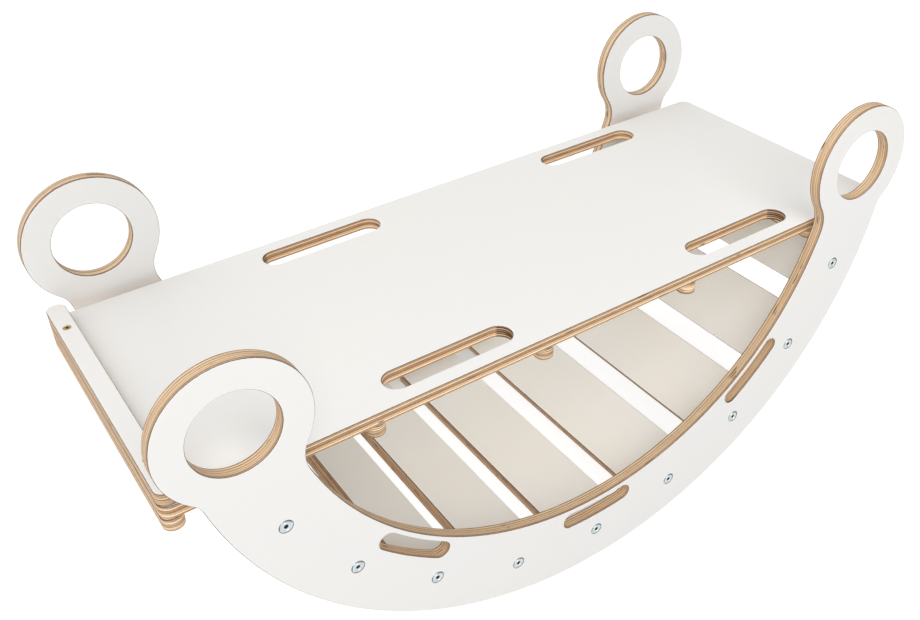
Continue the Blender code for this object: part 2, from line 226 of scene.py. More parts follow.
def stadium(centre, length, width):
    """A closed anticlockwise outline with half-round ends, lying along X."""
    radius = width / 2
    half = Vector((length / 2 - radius, 0.0))
    right = arc(centre + half, radius, -math.pi / 2, math.pi / 2, SLOT_END_STEPS)
    left = arc(centre - half, radius, math.pi / 2, 3 * math.pi / 2, SLOT_END_STEPS)
    return right + left


def rectangle(length, width):
    corners = ((1, -1), (1, 1), (-1, 1), (-1, -1))
    return [Vector((sx * length / 2, sy * width / 2)) for sx, sy in corners]


def rounded_rectangle(length, width, radius):
    """A closed anticlockwise rectangle about the origin with rounded corners."""
    points = []
    for quarter, corner in enumerate(rectangle(length - 2 * radius, width - 2 * radius)):
        start = (quarter - 1) * math.pi / 2
        points += arc(corner, radius, start, start + math.pi / 2, CORNER_STEPS)
    return points


def inset(points, amount):
    """Moves a closed loop to the left of its travel, into the material."""
    moved = []
    count = len(points)
    for i, point in enumerate(points):
        before = (point - points[i - 1]).normalized()
        after = (points[(i + 1) % count] - point).normalized()
        tangent = (before + after).normalized()
        stretch = 1.0 / max(0.5, tangent.dot(after))
        moved.append(point + Vector((-tangent.y, tangent.x)) * amount * stretch)
    return moved


# ---------------------------------------------------------------- closed bodies from rings


def lift(points, height):
    return [Vector((p.x, p.y, height)) for p in points]


def edge_rings(points):
    """Rings down a sheet's edge: a band on the top face, both rounded arrises, a band below."""
    upper = [lift(inset(points, ARRIS + FACE_BAND), PLY)]
    lower = [lift(inset(points, ARRIS + FACE_BAND), 0.0)]
    for step in range(ARRIS_STEPS + 1):
        angle = math.pi / 2 * step / ARRIS_STEPS
        ring = inset(points, ARRIS * (1 - math.sin(angle)))
        depth = ARRIS * (1 - math.cos(angle))
        upper.append(lift(ring, PLY - depth))
        lower.append(lift(ring, depth))
    return upper + lower[::-1]


def bore_rings(centre, steps):
    """Rings of a round bore, from (radius, height) pairs that run downwards."""
    return [lift(hole_circle(centre, radius, BORE_FACETS), height) for radius, height in steps]


def turned_rings(profile, facets):
    """Rings of a turned body, from (radius, height) pairs that run from its top to its tip."""
    angles = [math.tau * i / facets for i in range(facets)]
    return [[Vector((r * math.cos(a), r * math.sin(a), z)) for a in angles] for r, z in profile]


def cap(mesh, loops):
    """Fills a flat face bounded by its outline and the holes in it."""
    flat = [vert for loop in loops for vert in loop]
    for triangle in tessellate_polygon([[vert.co for vert in loop] for loop in loops]):
        mesh.faces.new([flat[index] for index in triangle])


def body_mesh(outer, through=(), slots=(), blind=()):
    """A closed body: its outer wall, holes and slots through it, and pockets in its top; slots are
    marked for painted shade.
    """
    mesh = bmesh.new()
    in_slot = mesh.verts.layers.float.new("in_slot")
    tops = []
    bottoms = []
    for rings in (outer, *through, *slots, *blind):
        loops = [[mesh.verts.new(point) for point in ring] for ring in rings]
        for vert in (vert for loop in loops for vert in loop):
            vert[in_slot] = float(any(rings is slot for slot in slots))
        for upper, lower in zip(loops, loops[1:]):
            count = len(upper)
            for i in range(count):
                j = (i + 1) % count
                mesh.faces.new((upper[i], lower[i], lower[j], upper[j]))
        tops.append(loops[0])
        bottoms.append(loops[-1])
    open_ended = 1 + len(through) + len(slots)
    cap(mesh, tops)
    cap(mesh, bottoms[:open_ended])
    for floor in bottoms[open_ended:]:
        cap(mesh, [floor])
    bmesh.ops.recalc_face_normals(mesh, faces=mesh.faces)
    return to_data("body", mesh)


def to_data(name, mesh):
    data = bpy.data.meshes.new(name)
    mesh.to_mesh(data)
    mesh.free()
    return data


def rod(radius, start, end, facets=BORE_FACETS):
    """A closed cylinder between two points, used as a cutter."""
    turn = UP.rotation_difference(end - start).to_matrix()
    rings = [
        [foot + turn @ point for point in turned_rings(((radius, 0.0),), facets)[0]]
        for foot in (end, start)
    ]
    return body_mesh(rings)


def block(size, centre):
    """A closed box, used as a cutter."""
    outline = rectangle(size.x, size.y)
    rings = [[centre + p for p in lift(outline, z)] for z in (size.z / 2, -size.z / 2)]
    return body_mesh(rings)


def carved(data, cutters):
    """The mesh with each cutter taken away from it."""
    target = bpy.data.objects.new("carving", data)
    bpy.context.scene.collection.objects.link(target)
    tools = []
    for cutter in cutters:
        tool = bpy.data.objects.new("cutter", cutter)
        bpy.context.scene.collection.objects.link(tool)
        tools.append(tool)
        modifier = target.modifiers.new("cut", "BOOLEAN")
        modifier.operation = "DIFFERENCE"
        modifier.solver = "EXACT"
        modifier.object = tool
    depsgraph = bpy.context.evaluated_depsgraph_get()
    result = bpy.data.meshes.new_from_object(target.evaluated_get(depsgraph), depsgraph=depsgraph)
    for used in (*tools, target):
        bpy.data.objects.remove(used)
    return result


# ---------------------------------------------------------------- what the materials read


def edge_facing(vert):
    """The way an edge faces in the plane of its sheet, or nothing on the flat faces."""
    facing = Vector((0.0, 0.0))
    for face in vert.link_faces:
        facing += face.normal.to_2d()
    return facing.normalized() if facing.length > 1e-4 else facing


SHEET_OFFSET = Vector((1.7, 0.9, 0.0))


def tag_sheet(data, shift):
    """Stores each point's place in its sheet, its edge's share of end grain and where painted shade
    darkens it.

    The painted shade darkens one end of each slot in the play board: the +X end of the front slots and
    the -X end of the back slots.
    """
    mesh = bmesh.new()
    mesh.from_mesh(data)
    mesh.normal_update()
    in_slot = mesh.verts.layers.float.get("in_slot")
    turns = []
    slot_end_shade = []
    for vert in mesh.verts:
        facing = edge_facing(vert)
        turns.append(facing.x**2)
        # Painted shade mask: slot end walls that face -X on the front side and +X on the back side
        slot_end_shade.append(max(0.0, math.copysign(facing.x, facing.x * vert.co.y)) * vert[in_slot])
    mesh.free()
    offset = SHEET_OFFSET * shift
    places = [axis for vert in data.vertices for axis in vert.co + offset]
    data.attributes.new("sheet", "FLOAT_VECTOR", "POINT").data.foreach_set("vector", places)
    data.attributes.new("edge_turn", "FLOAT", "POINT").data.foreach_set("value", turns)
    data.attributes.new("slot_end_shade", "FLOAT", "POINT").data.foreach_set("value", slot_end_shade)


def tag_turned(data, shift):
    """Stores each point's place about its lathe axis, and a number that sets the piece apart."""
    places = [axis for vert in data.vertices for axis in vert.co]
    batches = [float(shift)] * len(data.vertices)
    data.attributes.new("turned", "FLOAT_VECTOR", "POINT").data.foreach_set("vector", places)
    data.attributes.new("batch", "FLOAT", "POINT").data.foreach_set("value", batches)


def add_piece(name, data, matrix, node, body, material, tag, shift):
    """Puts one finished piece in place of its CAD node."""
    data = data.copy()
    data.name = name
    data.shade_smooth()
    data.set_sharp_from_angle(angle=SHARP_ANGLE)
    data.materials.clear()
    data.materials.append(material)
    tag(data, shift)
    piece = bpy.data.objects.new(name, data)
    bpy.context.scene.collection.objects.link(piece)
    piece.matrix_world = matrix
    weighted = piece.modifiers.new("even_faces", "WEIGHTED_NORMAL")
    weighted.keep_sharp = True
    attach(piece, body)
    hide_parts(node)


# ---------------------------------------------------------------- material graphs


# The range that a noise node's output mostly stays in
NOISE_LOW = 0.3
NOISE_HIGH = 0.7


class Graph:
    """The node tree of a material or world, wired by calls that read like formulas."""

    def __init__(self, owner):
        owner.use_nodes = True
        self.owner = owner
        self.tree = owner.node_tree

    def feed(self, socket, value):
        if isinstance(value, bpy.types.NodeSocket):
            self.tree.links.new(value, socket)
        else:
            socket.default_value = value

    def node(self, kind, *inputs, **settings):
        made = self.tree.nodes.new("ShaderNode" + kind)
        for key, value in settings.items():
            setattr(made, key, value)
        for socket, value in zip(made.inputs, inputs):
            self.feed(socket, value)
        return made

    def number(self, name):
        """The number that a mesh keeps in an attribute."""
        return self.node("Attribute", attribute_name=name).outputs["Fac"]

    def place_mm(self, name):
        """The place that a mesh keeps in an attribute, in millimetres."""
        place = self.node("Attribute", attribute_name=name).outputs["Vector"]
        return self.scaled(place, (1 / MM, 1 / MM, 1 / MM))

    def calc(self, operation, *values, clamp=False):
        return self.node("Math", *values, operation=operation, use_clamp=clamp).outputs[0]

    def scaled(self, vector, factors):
        return self.node("VectorMath", vector, factors, operation="MULTIPLY").outputs[0]

    def dot(self, vector, direction):
        return self.node("VectorMath", vector, direction, operation="DOT_PRODUCT").outputs["Value"]

    def parts(self, vector):
        return self.node("SeparateXYZ", vector).outputs[:]

    def vector(self, x, y, z):
        return self.node("CombineXYZ", x, y, z).outputs[0]

    def noise(self, vector, scale, detail):
        made = self.node("TexNoise")
        self.feed(made.inputs["Vector"], vector)
        self.feed(made.inputs["Scale"], scale)
        self.feed(made.inputs["Detail"], detail)
        return made.outputs[0]

    def pattern(self, mm, repeats, detail):
        """Noise that repeats at a different rate along each axis, per millimetre."""
        return self.noise(self.scaled(mm, repeats), 1.0, detail)

    def remap(self, value, low, high, to_low=0.0, to_high=1.0):
        return self.node("MapRange", value, low, high, to_low, to_high).outputs[0]

    def vary(self, noise, low, high):
        """A number that wanders between low and high as the noise does."""
        return self.remap(noise, NOISE_LOW, NOISE_HIGH, low, high)

    def nearer_end(self, value, length):
        """How far a value is from the nearer end of a run from 0 to length."""
        return self.calc("MINIMUM", value, self.calc("SUBTRACT", length, value))

    def mix(self, factor, a, b):
        made = self.node("Mix")
        self.feed(made.inputs[0], factor)
        self.feed(made.inputs[2], a)
        self.feed(made.inputs[3], b)
        return made.outputs[0]

    def mix_colour(self, factor, a, b):
        made = self.node("Mix", data_type="RGBA")
        self.feed(made.inputs[0], factor)
        self.feed(made.inputs[6], a)
        self.feed(made.inputs[7], b)
        return made.outputs[2]

    def tinted(self, colour, amount):
        """The colour made lighter or darker: amount 1 leaves it as it is."""
        made = self.node("VectorMath", colour, operation="SCALE")
        self.feed(made.inputs["Scale"], amount)
        return made.outputs[0]

    def seen_directly(self):
        """1 for what the camera sees, 0 for what lights or is mirrored in the pieces."""
        return self.node("LightPath").outputs["Is Camera Ray"]

    def bump(self, height_mm):
        made = self.node("Bump")
        self.feed(made.inputs["Distance"], MM)
        self.feed(made.inputs["Height"], height_mm)
        return made.outputs[0]

    def shade(self, shader, **inputs):
        """Feeds named inputs of a shader, with underscores for the spaces in their names."""
        for name, value in inputs.items():
            self.feed(self.tree.nodes[shader].inputs[name.replace("_", " ")], value)
        return self.owner

    def finish(self, colour, roughness, height_mm, metallic=0.0):
        normal = self.bump(height_mm)
        return self.shade(
            "Principled BSDF",
            Base_Color=colour,
            Roughness=roughness,
            Normal=normal,
            Metallic=metallic,
        )


# Colours of the film and the raw plies
FILM_WHITE = (0.88, 0.874, 0.860, 1.0)
FILM_WARM = (0.88, 0.864, 0.838, 1.0)
# Slat film: painted light, lighter and warmer than the other film for the warm bounced light in the
# shade under the board
FILM_SLAT_PAINTED_LIGHT = (0.925, 0.898, 0.85, 1.0)
FILM_SLAT_PAINTED_LIGHT_WARM = (0.925, 0.88, 0.805, 1.0)
LONG_GRAIN = (0.86, 0.625, 0.375, 1.0)
LONG_GRAIN_PALE = (0.99, 0.82, 0.60, 1.0)
END_GRAIN = (0.53, 0.30, 0.14, 1.0)
END_GRAIN_DARK = (0.38, 0.185, 0.075, 1.0)
GLUE = (0.14, 0.050, 0.017, 1.0)
KNOT = (0.09, 0.035, 0.012, 1.0)
# Painted shade at one end of each slot in the play board
SLOT_END_SHADE = (0.06, 0.024, 0.011, 1.0)

# How much lighter, darker or redder the cut edges of each kind of piece are
PANEL_EDGE = (0.91, 0.90, 0.89)
DECK_EDGE = (1.08, 1.09, 1.09)
# Slat edges: painted shade, darker and redder for the shaded edges between the slats
SLAT_EDGE_SHADE = (0.76, 0.67, 0.57)

# How the sheet is made up, in millimetres
PLY_COUNT = 11
THICKNESS_MM = PLY / MM
PITCH_MM = THICKNESS_MM / PLY_COUNT
FILM_MM = 0.14
FILM_FADE_MM = 0.05
FILM_LINE_MM = 0.85
GLUE_MM = 0.19
WANDER_MM = 0.16

# How often the patterns repeat along, across and through the sheet, per millimetre
CLOUD_PATTERN = (0.006, 0.011, 0.0)
VENEER_PATTERN = (0.02, 0.45, 0.0)
LINE_RUN_PATTERN = (0.05, 0.05, 0.8)
STREAK_PATTERN = (0.05, 0.05, 2.2)
FLECK_PATTERN = (0.9, 0.9, 3.0)
WANDER_PATTERN = (0.02, 0.02, 0.25)
VOID_PATTERN = 0.03
RAGGED_PATTERN = 0.35
PEEL_PATTERN = 0.55

# Steps that keep the random draws of plies and glue lines apart
LINE_DRAW = 2.113
LINE_FIRMNESS_DRAW = 4.37
PLY_TONE_DRAW = 1.37
PLY_DIP_DRAW = 2.71
PLY_GRAIN_DRAW = 3.31


def film_colour(g, mm, white, warm):
    """White film with faint cloudiness and a trace of the veneer showing through."""
    cloud = g.pattern(mm, CLOUD_PATTERN, 3.0)
    veneer = g.pattern(mm, VENEER_PATTERN, 4.0)
    film = g.mix_colour(g.remap(cloud, 0.35, 0.65), white, warm)
    shade = g.calc("ADD", g.vary(cloud, 0.985, 1.005), g.vary(veneer, -0.006, 0.006))
    return g.tinted(film, shade)


def by_index(g, index, sheet, step):
    """An unchanging random number for each whole index in each sheet."""
    made = g.node("TexWhiteNoise", noise_dimensions="2D")
    g.feed(made.inputs["Vector"], g.vector(g.calc("MULTIPLY", index, step), sheet, 0.0))
    return made.outputs[0]


def glue_lines(g, mm, level, sheet):
    """Dark lines between the plies, strongest under the face veneers and uneven along their run."""
    index = g.calc("FLOOR", g.calc("ADD", level, 0.5))
    distance = g.calc("ABSOLUTE", g.calc("SUBTRACT", level, index))
    outermost = g.calc("LESS_THAN", g.nearer_end(index, float(PLY_COUNT)), 1.5)
    chance = g.remap(by_index(g, index, sheet, LINE_DRAW), 0.35, 0.85)
    firm = g.remap(by_index(g, index, sheet, LINE_FIRMNESS_DRAW), 0.0, 1.0, 0.45, 1.0)
    weight = g.calc("MAXIMUM", chance, g.calc("MULTIPLY", outermost, firm))
    half = GLUE_MM / PITCH_MM
    width = g.remap(weight, 0.0, 1.0, half * 0.9, half * 3.3)
    line = g.calc("SUBTRACT", 1.0, g.calc("DIVIDE", distance, width), clamp=True)
    line = g.calc("MULTIPLY", line, 1.8, clamp=True)
    strength = g.remap(weight, 0.0, 0.8, 0.2, 1.0)
    run = g.pattern(mm, LINE_RUN_PATTERN, 3.0)
    unevenness = g.remap(run, 0.35, 0.60, 0.55, 1.0)
    return g.calc("MULTIPLY", g.calc("MULTIPLY", line, strength), unevenness)


def ply_tone(g, layer, sheet, fleck):
    """How light each ply is: by chance, a little darker just under the face veneer, and flecked."""
    tone = g.remap(by_index(g, layer, sheet, PLY_TONE_DRAW), 0.0, 1.0, 0.80, 1.20)
    second = g.calc("COMPARE", g.nearer_end(layer, PLY_COUNT - 1.0), 1.0, 0.5)
    dip = g.remap(by_index(g, layer, sheet, PLY_DIP_DRAW), 0.0, 1.0, 0.80, 1.0)
    tone = g.calc("MULTIPLY", tone, g.mix(second, 1.06, dip))
    return g.calc("ADD", tone, g.vary(fleck, -0.14, 0.14))


def end_grain_share(g, layer, crossed, sheet):
    """How much end grain a ply's edge shows: crossed plies turn the other way, and each varies."""
    turn = g.number("edge_turn")
    by_ply = g.mix(crossed, turn, g.calc("SUBTRACT", 1.0, turn))
    chance = g.remap(by_index(g, layer, sheet, PLY_GRAIN_DRAW), 0.0, 1.0, -0.15, 0.55)
    return g.calc("MULTIPLY_ADD", by_ply, 0.50, chance, clamp=True)


def film_line(g, under):
    """The dark line between the film and the raw edge, from the depth under the film in mm."""
    fade = g.calc("SUBTRACT", 1.0, g.calc("DIVIDE", under, FILM_LINE_MM))
    return g.calc("MULTIPLY", fade, 2.0, clamp=True)


def paint_slot_end_shade(g, crossed):
    """How strongly the painted shade darkens a slot's end, the crossed plies most."""
    shaded = g.remap(g.number("slot_end_shade"), 0.38, 0.52)
    return g.calc("MULTIPLY", shaded, g.remap(crossed, 0.0, 1.0, 0.15, 1.0))


def voids(g, mm, layer):
    """Dark knots and gaps, each in one ply."""
    along, across, _ = g.parts(mm)
    place_along = g.calc("MULTIPLY", along, VOID_PATTERN)
    place_across = g.calc("MULTIPLY", across, VOID_PATTERN)
    noise = g.noise(g.vector(place_along, place_across, layer), 1.0, 1.0)
    return g.remap(noise, 0.70, 0.74, 0.0, 0.85)


def ply_material(name, white, warm, edge_tint):
    """Film-faced birch ply: film within a hair of either face, raw sanded plies between."""
    g = Graph(bpy.data.materials.new(name))
    mm = g.place_mm("sheet")
    along, _, through = g.parts(mm)
    sheet = g.calc("ROUND", g.calc("DIVIDE", along, SHEET_OFFSET.x / MM))
    ragged = g.vary(g.noise(mm, RAGGED_PATTERN, 3.0), FILM_MM * 0.6, FILM_MM * 1.5)
    under = g.calc("SUBTRACT", g.nearer_end(through, THICKNESS_MM), ragged)
    bare = g.calc("DIVIDE", under, FILM_FADE_MM, clamp=True)

    swing = g.pattern(mm, WANDER_PATTERN, 2.0)
    wander = g.vary(swing, -WANDER_MM, WANDER_MM)
    level = g.calc("DIVIDE", g.calc("ADD", through, wander), PITCH_MM)
    layer = g.calc("FLOOR", level)
    crossed = g.calc("FLOORED_MODULO", layer, 2.0)

    streak = g.pattern(mm, STREAK_PATTERN, 4.0)
    fleck = g.pattern(mm, FLECK_PATTERN, 3.0)
    long_grain = g.mix_colour(g.remap(streak, 0.35, 0.65), LONG_GRAIN, LONG_GRAIN_PALE)
    end_grain = g.mix_colour(g.remap(fleck, 0.3, 0.65), END_GRAIN_DARK, END_GRAIN)
    grain = g.mix_colour(end_grain_share(g, layer, crossed, sheet), long_grain, end_grain)
    wood = g.tinted(grain, ply_tone(g, layer, sheet, fleck))
    seam = g.calc("MAXIMUM", glue_lines(g, mm, level, sheet), film_line(g, under))
    wood = g.mix_colour(seam, wood, GLUE)
    wood = g.mix_colour(voids(g, mm, layer), wood, KNOT)
    # Painted shade darkens one end of each slot, before the edge tint
    wood = g.scaled(g.mix_colour(paint_slot_end_shade(g, crossed), wood, SLOT_END_SHADE), edge_tint)
    colour = g.mix_colour(bare, film_colour(g, mm, white, warm), wood)

    peel = g.noise(mm, PEEL_PATTERN, 3.0)
    film_height = g.calc("MULTIPLY", peel, 0.010)
    wood_height = g.calc("MULTIPLY_ADD", seam, -0.06, g.calc("MULTIPLY", fleck, 0.05))
    rough = g.mix(bare, g.vary(peel, 0.40, 0.48), g.vary(streak, 0.55, 0.72))
    return g.finish(colour, rough, g.mix(bare, film_height, wood_height))


# Colours of the plated metal, and of the painted shade in the recesses
ZINC = (0.84, 0.885, 0.905, 1.0)
ZINC_DULL = (0.66, 0.74, 0.78, 1.0)
BRASS = (0.74, 0.51, 0.19, 1.0)
BRASS_DULL = (0.44, 0.28, 0.09, 1.0)
# Painted reflection: the dark colour of a bolt's bevel where it faces the dark sides
PAINTED_REFLECTION_DARK = (0.18, 0.21, 0.23, 1.0)
# Painted shade inside the bolt sockets and screw recesses
RECESS_SHADE = (0.02, 0.02, 0.022, 1.0)

# The bevel round a bolt's head carries a painted reflection, painted dark where it faces two dark sides
# of the room:
# a direction, and the lean towards it at which the dark starts and is full
RIM_BAND_MM = 6.7
RIM_BAND_WIDTH_MM = 1.3
DARK_SIDES = (((0.5, 0.0, 0.87), 0.12, 0.20), ((-0.97, 0.0, 0.24), 0.18, 0.22))

PLATING_PATTERN = 0.45
LATHE_RINGS = 28.0
RECESS_SHADE_REACH_MM = 0.45
BATCH_STEP_MM = 31.0


def painted_rim_reflection(g, radius):
    """How dark the painted reflection on the bevel round a bolt's head is."""
    from_band = g.calc("ABSOLUTE", g.calc("SUBTRACT", radius, RIM_BAND_MM))
    band = g.calc("SUBTRACT", 1.0, g.calc("DIVIDE", from_band, RIM_BAND_WIDTH_MM), clamp=True)
    facing = g.node("NewGeometry").outputs["Normal"]
    dark = 0.0
    for direction, low, high in DARK_SIDES:
        dark = g.calc("MAXIMUM", dark, g.remap(g.dot(facing, direction), low, high))
    return g.calc("MULTIPLY", g.calc("MULTIPLY", band, 2.0, clamp=True), dark)


def metal_material(name, bright, dull, recess_radius, roughness):
    """Plated turned steel: fine lathe rings, cloudy plating, a painted dark reflection on the rim and
    painted shade in the recess.
    """
    g = Graph(bpy.data.materials.new(name))
    mm = g.place_mm("turned")
    x, y, z = g.parts(mm)
    radius = g.calc("SQRT", g.calc("ADD", g.calc("MULTIPLY", x, x), g.calc("MULTIPLY", y, y)))
    batch_offset = g.calc("MULTIPLY", g.number("batch"), BATCH_STEP_MM)
    moved = g.vector(g.calc("ADD", x, batch_offset), y, z)
    cloud = g.noise(moved, PLATING_PATTERN, 3.0)
    rings = g.calc("SINE", g.calc("MULTIPLY", radius, LATHE_RINGS))
    clean = g.mix_colour(g.remap(cloud, 0.35, 0.65), bright, dull)
    # Painted reflection darkens the bevel where it faces the dark sides
    plated_with_reflection = g.mix_colour(painted_rim_reflection(g, radius), clean, PAINTED_REFLECTION_DARK)
    # Painted shade: near black inside the recess, darker the deeper it goes
    deep = g.remap(z, -0.05, -0.7, 0.25, 1.0)
    inside = g.remap(radius, recess_radius / MM + RECESS_SHADE_REACH_MM, recess_radius / MM)
    recess_shade = g.calc("MULTIPLY", g.calc("MULTIPLY", deep, inside), 0.9)
    colour = g.mix_colour(recess_shade, plated_with_reflection, RECESS_SHADE)
    plating = g.vary(cloud, roughness, roughness + 0.12)
    rough = g.calc("ADD", plating, g.calc("MULTIPLY", rings, 0.02))
    height = g.calc("MULTIPLY", rings, 0.002)
    metallic = g.calc("SUBTRACT", 1.0, g.calc("MULTIPLY", recess_shade, 0.5))
    return g.finish(colour, rough, height, metallic)


# ---------------------------------------------------------------- side panels


def ring_handle():
    """The curve from the outer arc's end round a ring handle to the inner arc's start."""
    outer_fillet = lower_crossing(
        OUTER_CENTRE, OUTER_RADIUS + OUTER_FILLET, RING_CENTRE, RING_RADIUS + OUTER_FILLET
    )
    inner_fillet = lower_crossing(
        INNER_CENTRE, INNER_RADIUS - INNER_FILLET, RING_CENTRE, RING_RADIUS + INNER_FILLET
    )
    outer_end = heading(outer_fillet - OUTER_CENTRE)
    inner_end = heading(inner_fillet - INNER_CENTRE)
    ring_start = heading(outer_fillet - RING_CENTRE)
    ring_end = heading(inner_fillet - RING_CENTRE) + math.tau
    pieces = (
        arc_by_length(OUTER_CENTRE, OUTER_RADIUS, -math.pi / 2, outer_end, ARC_STEP),
        arc_by_length(outer_fillet, OUTER_FILLET, outer_end + math.pi, ring_start + math.pi, RING_STEP),
        arc_by_length(RING_CENTRE, RING_RADIUS, ring_start, 0.0, RING_STEP),
        arc_by_length(RING_CENTRE, RING_RADIUS, 0.0, math.pi / 2, RING_STEP),
        arc_by_length(RING_CENTRE, RING_RADIUS, math.pi / 2, ring_end, RING_STEP),
        arc_by_length(inner_fillet, INNER_FILLET, ring_end - math.pi, inner_end, RING_STEP),
        arc_by_length(INNER_CENTRE, INNER_RADIUS, inner_end, -math.pi / 2, ARC_STEP),
    )
    points = list(pieces[0])
    for piece in pieces[1:]:
        points += piece[1:]
    return points


def panel_outline():
    half = ring_handle()
    return half + [Vector((-point.x, point.y)) for point in reversed(half[1:-1])]


def grip_outline(pitches):
    """A slot bent along the crescent, with round ends."""
    middle = -math.pi / 2 + pitches * BOLT_PITCH
    radius = GRIP_WIDTH / 2
    reach = (GRIP_LENGTH / 2 - radius) / GRIP_RADIUS
    low, high = middle - reach, middle + reach
    first = polar(OUTER_CENTRE, GRIP_RADIUS, low)
    last = polar(OUTER_CENTRE, GRIP_RADIUS, high)
    points = arc_by_length(OUTER_CENTRE, GRIP_RADIUS + radius, high, low, ARC_STEP)
    points += arc(first, radius, low, low - math.pi, SLOT_END_STEPS)[1:]
    points += arc_by_length(OUTER_CENTRE, GRIP_RADIUS - radius, low, high, ARC_STEP)[1:]
    points += arc(last, radius, high + math.pi, high, SLOT_END_STEPS)[1:-1]
    return points


def bolt_hole(number):
    spot = centre_of(f"connector_bolt_front_{number}")
    floor = PLY - COUNTERBORE_DEPTH
    steps = (
        (COUNTERBORE_RADIUS + COUNTERBORE_RIM, PLY),
        (COUNTERBORE_RADIUS, PLY - COUNTERBORE_RIM),
        (COUNTERBORE_RADIUS, floor),
        (BOLT_BORE_RADIUS, floor),
        (BOLT_BORE_RADIUS, 0.0),
    )
    return bore_rings(Vector((spot.x, spot.z)), steps)


def panel_mesh():
    holes = []
    for mirror in (-1, 1):
        centre = Vector((mirror * RING_CENTRE.x, RING_CENTRE.y))
        facets = math.ceil(math.tau * RING_HOLE_RADIUS / RING_STEP)
        holes.append(edge_rings(hole_circle(centre, RING_HOLE_RADIUS, facets)))
    holes += [edge_rings(grip_outline(pitches)) for pitches in GRIP_PITCHES]
    holes += [bolt_hole(number) for number in SLATS]
    return body_mesh(edge_rings(panel_outline()), through=holes)


def add_panels(ply):
    data = panel_mesh()
    for shift, side in enumerate(SIDES):
        node = f"side_panel_{side}"
        low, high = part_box(node)
        inner_face = low.y if side == "back" else high.y
        matrix = facing_out(side, Vector((0.0, inner_face, 0.0)))
        add_piece(f"panel_{side}", data, matrix, node, "rocker", ply, tag_sheet, shift)


# ---------------------------------------------------------------- slats and their fixings


def slat_mesh():
    """A slat lying along X with its outer face up, bored for two bolts and two barrel nuts."""
    length = thickness_of("slat_5", 1)
    width = thickness_of("slat_5", 0)
    nut_x = abs(centre_of("barrel_nut_front_5").y)
    pockets = []
    bores = []
    for side in (-1, 1):
        steps = (
            (NUT_BORE_RADIUS, PLY),
            (NUT_BORE_RADIUS, PLY - NUT_BORE_DEPTH),
        )
        pockets.append(bore_rings(Vector((side * nut_x, 0.0)), steps))
        outside = Vector((side * (length / 2 + CUT_MARGIN), 0.0, PLY / 2))
        inside = Vector((side * (length / 2 - BOLT_BORE_DEPTH), 0.0, PLY / 2))
        bores.append(rod(BOLT_BORE_RADIUS, inside, outside))
    return carved(body_mesh(edge_rings(rectangle(length, width)), blind=pockets), bores)


def hexagon_ring(flats, height):
    return turned_rings(((flats / math.sqrt(3), height),), 6)[0]


def bolt_mesh():
    """A flat-head bolt with its head's face at z = 0, a turned groove in it and a bevel round it."""
    groove = BOLT_FACE_RADIUS - BOLT_GROOVE_INSET
    profile = (
        (groove - BOLT_GROOVE_WIDTH, 0.0),
        (groove - BOLT_GROOVE_WIDTH * 0.7, -BOLT_GROOVE_DEPTH),
        (groove - BOLT_GROOVE_WIDTH * 0.3, -BOLT_GROOVE_DEPTH),
        (groove, 0.0),
        (BOLT_FACE_RADIUS, 0.0),
        (BOLT_HEAD_RADIUS - BOLT_RIM, -BOLT_BEVEL_DROP),
        (BOLT_HEAD_RADIUS - BOLT_RIM * 0.3, -BOLT_BEVEL_DROP - BOLT_RIM * 0.3),
        (BOLT_HEAD_RADIUS, -BOLT_BEVEL_DROP - BOLT_RIM),
        (BOLT_HEAD_RADIUS, -BOLT_HEAD_HEIGHT),
        (BOLT_SHANK_RADIUS, -BOLT_HEAD_HEIGHT),
        (BOLT_SHANK_RADIUS, -BOLT_LENGTH + BOLT_SHANK_RADIUS / 4),
        (BOLT_SHANK_RADIUS * 3 / 4, -BOLT_LENGTH),
    )
    socket = (
        hexagon_ring(BOLT_SOCKET_FLATS + 2 * BOLT_SOCKET_LEAD_IN, 0.0),
        hexagon_ring(BOLT_SOCKET_FLATS, -BOLT_SOCKET_LEAD_IN),
        hexagon_ring(BOLT_SOCKET_FLATS, -BOLT_SOCKET_DEPTH),
    )
    return body_mesh(turned_rings(profile, BORE_FACETS), blind=[socket])


def nut_mesh():
    """A barrel nut about z, slotted at its top, with a cross hole for the bolt along x."""
    half = NUT_LENGTH / 2
    profile = (
        (NUT_RADIUS - NUT_CHAMFER, half),
        (NUT_RADIUS, half - NUT_CHAMFER),
        (NUT_RADIUS, NUT_CHAMFER - half),
        (NUT_RADIUS - NUT_CHAMFER, -half),
    )
    barrel = body_mesh(turned_rings(profile, BORE_FACETS))
    reach = Vector((2 * NUT_RADIUS, 0.0, 0.0))
    slot_size = Vector((NUT_SLOT_WIDTH, 4 * NUT_RADIUS, 2 * NUT_SLOT_DEPTH))
    cutters = (rod(BOLT_BORE_RADIUS, -reach, reach), block(slot_size, Vector((0.0, 0.0, half))))
    return carved(barrel, cutters)


def add_slats(ply, zinc):
    slat = slat_mesh()
    bolt = bolt_mesh()
    nut = nut_mesh()
    for number in SLATS:
        axes = slat_axes(number)
        node = f"slat_{number}"
        matrix = basis(*axes, centre_of(node) - axes[2] * PLY / 2)
        name = f"slat_board_{number}"
        shift = BEFORE_FIRST_SLAT + number
        add_piece(name, slat, matrix, node, "rocker", ply, tag_sheet, shift)
        for side in SIDES:
            add_bolt(bolt, number, side, zinc)
            node = f"barrel_nut_{side}_{number}"
            matrix = basis(*axes, centre_of(node))
            name = f"nut_{side}_{number}"
            add_piece(name, nut, matrix, node, "rocker", zinc, tag_turned, number)


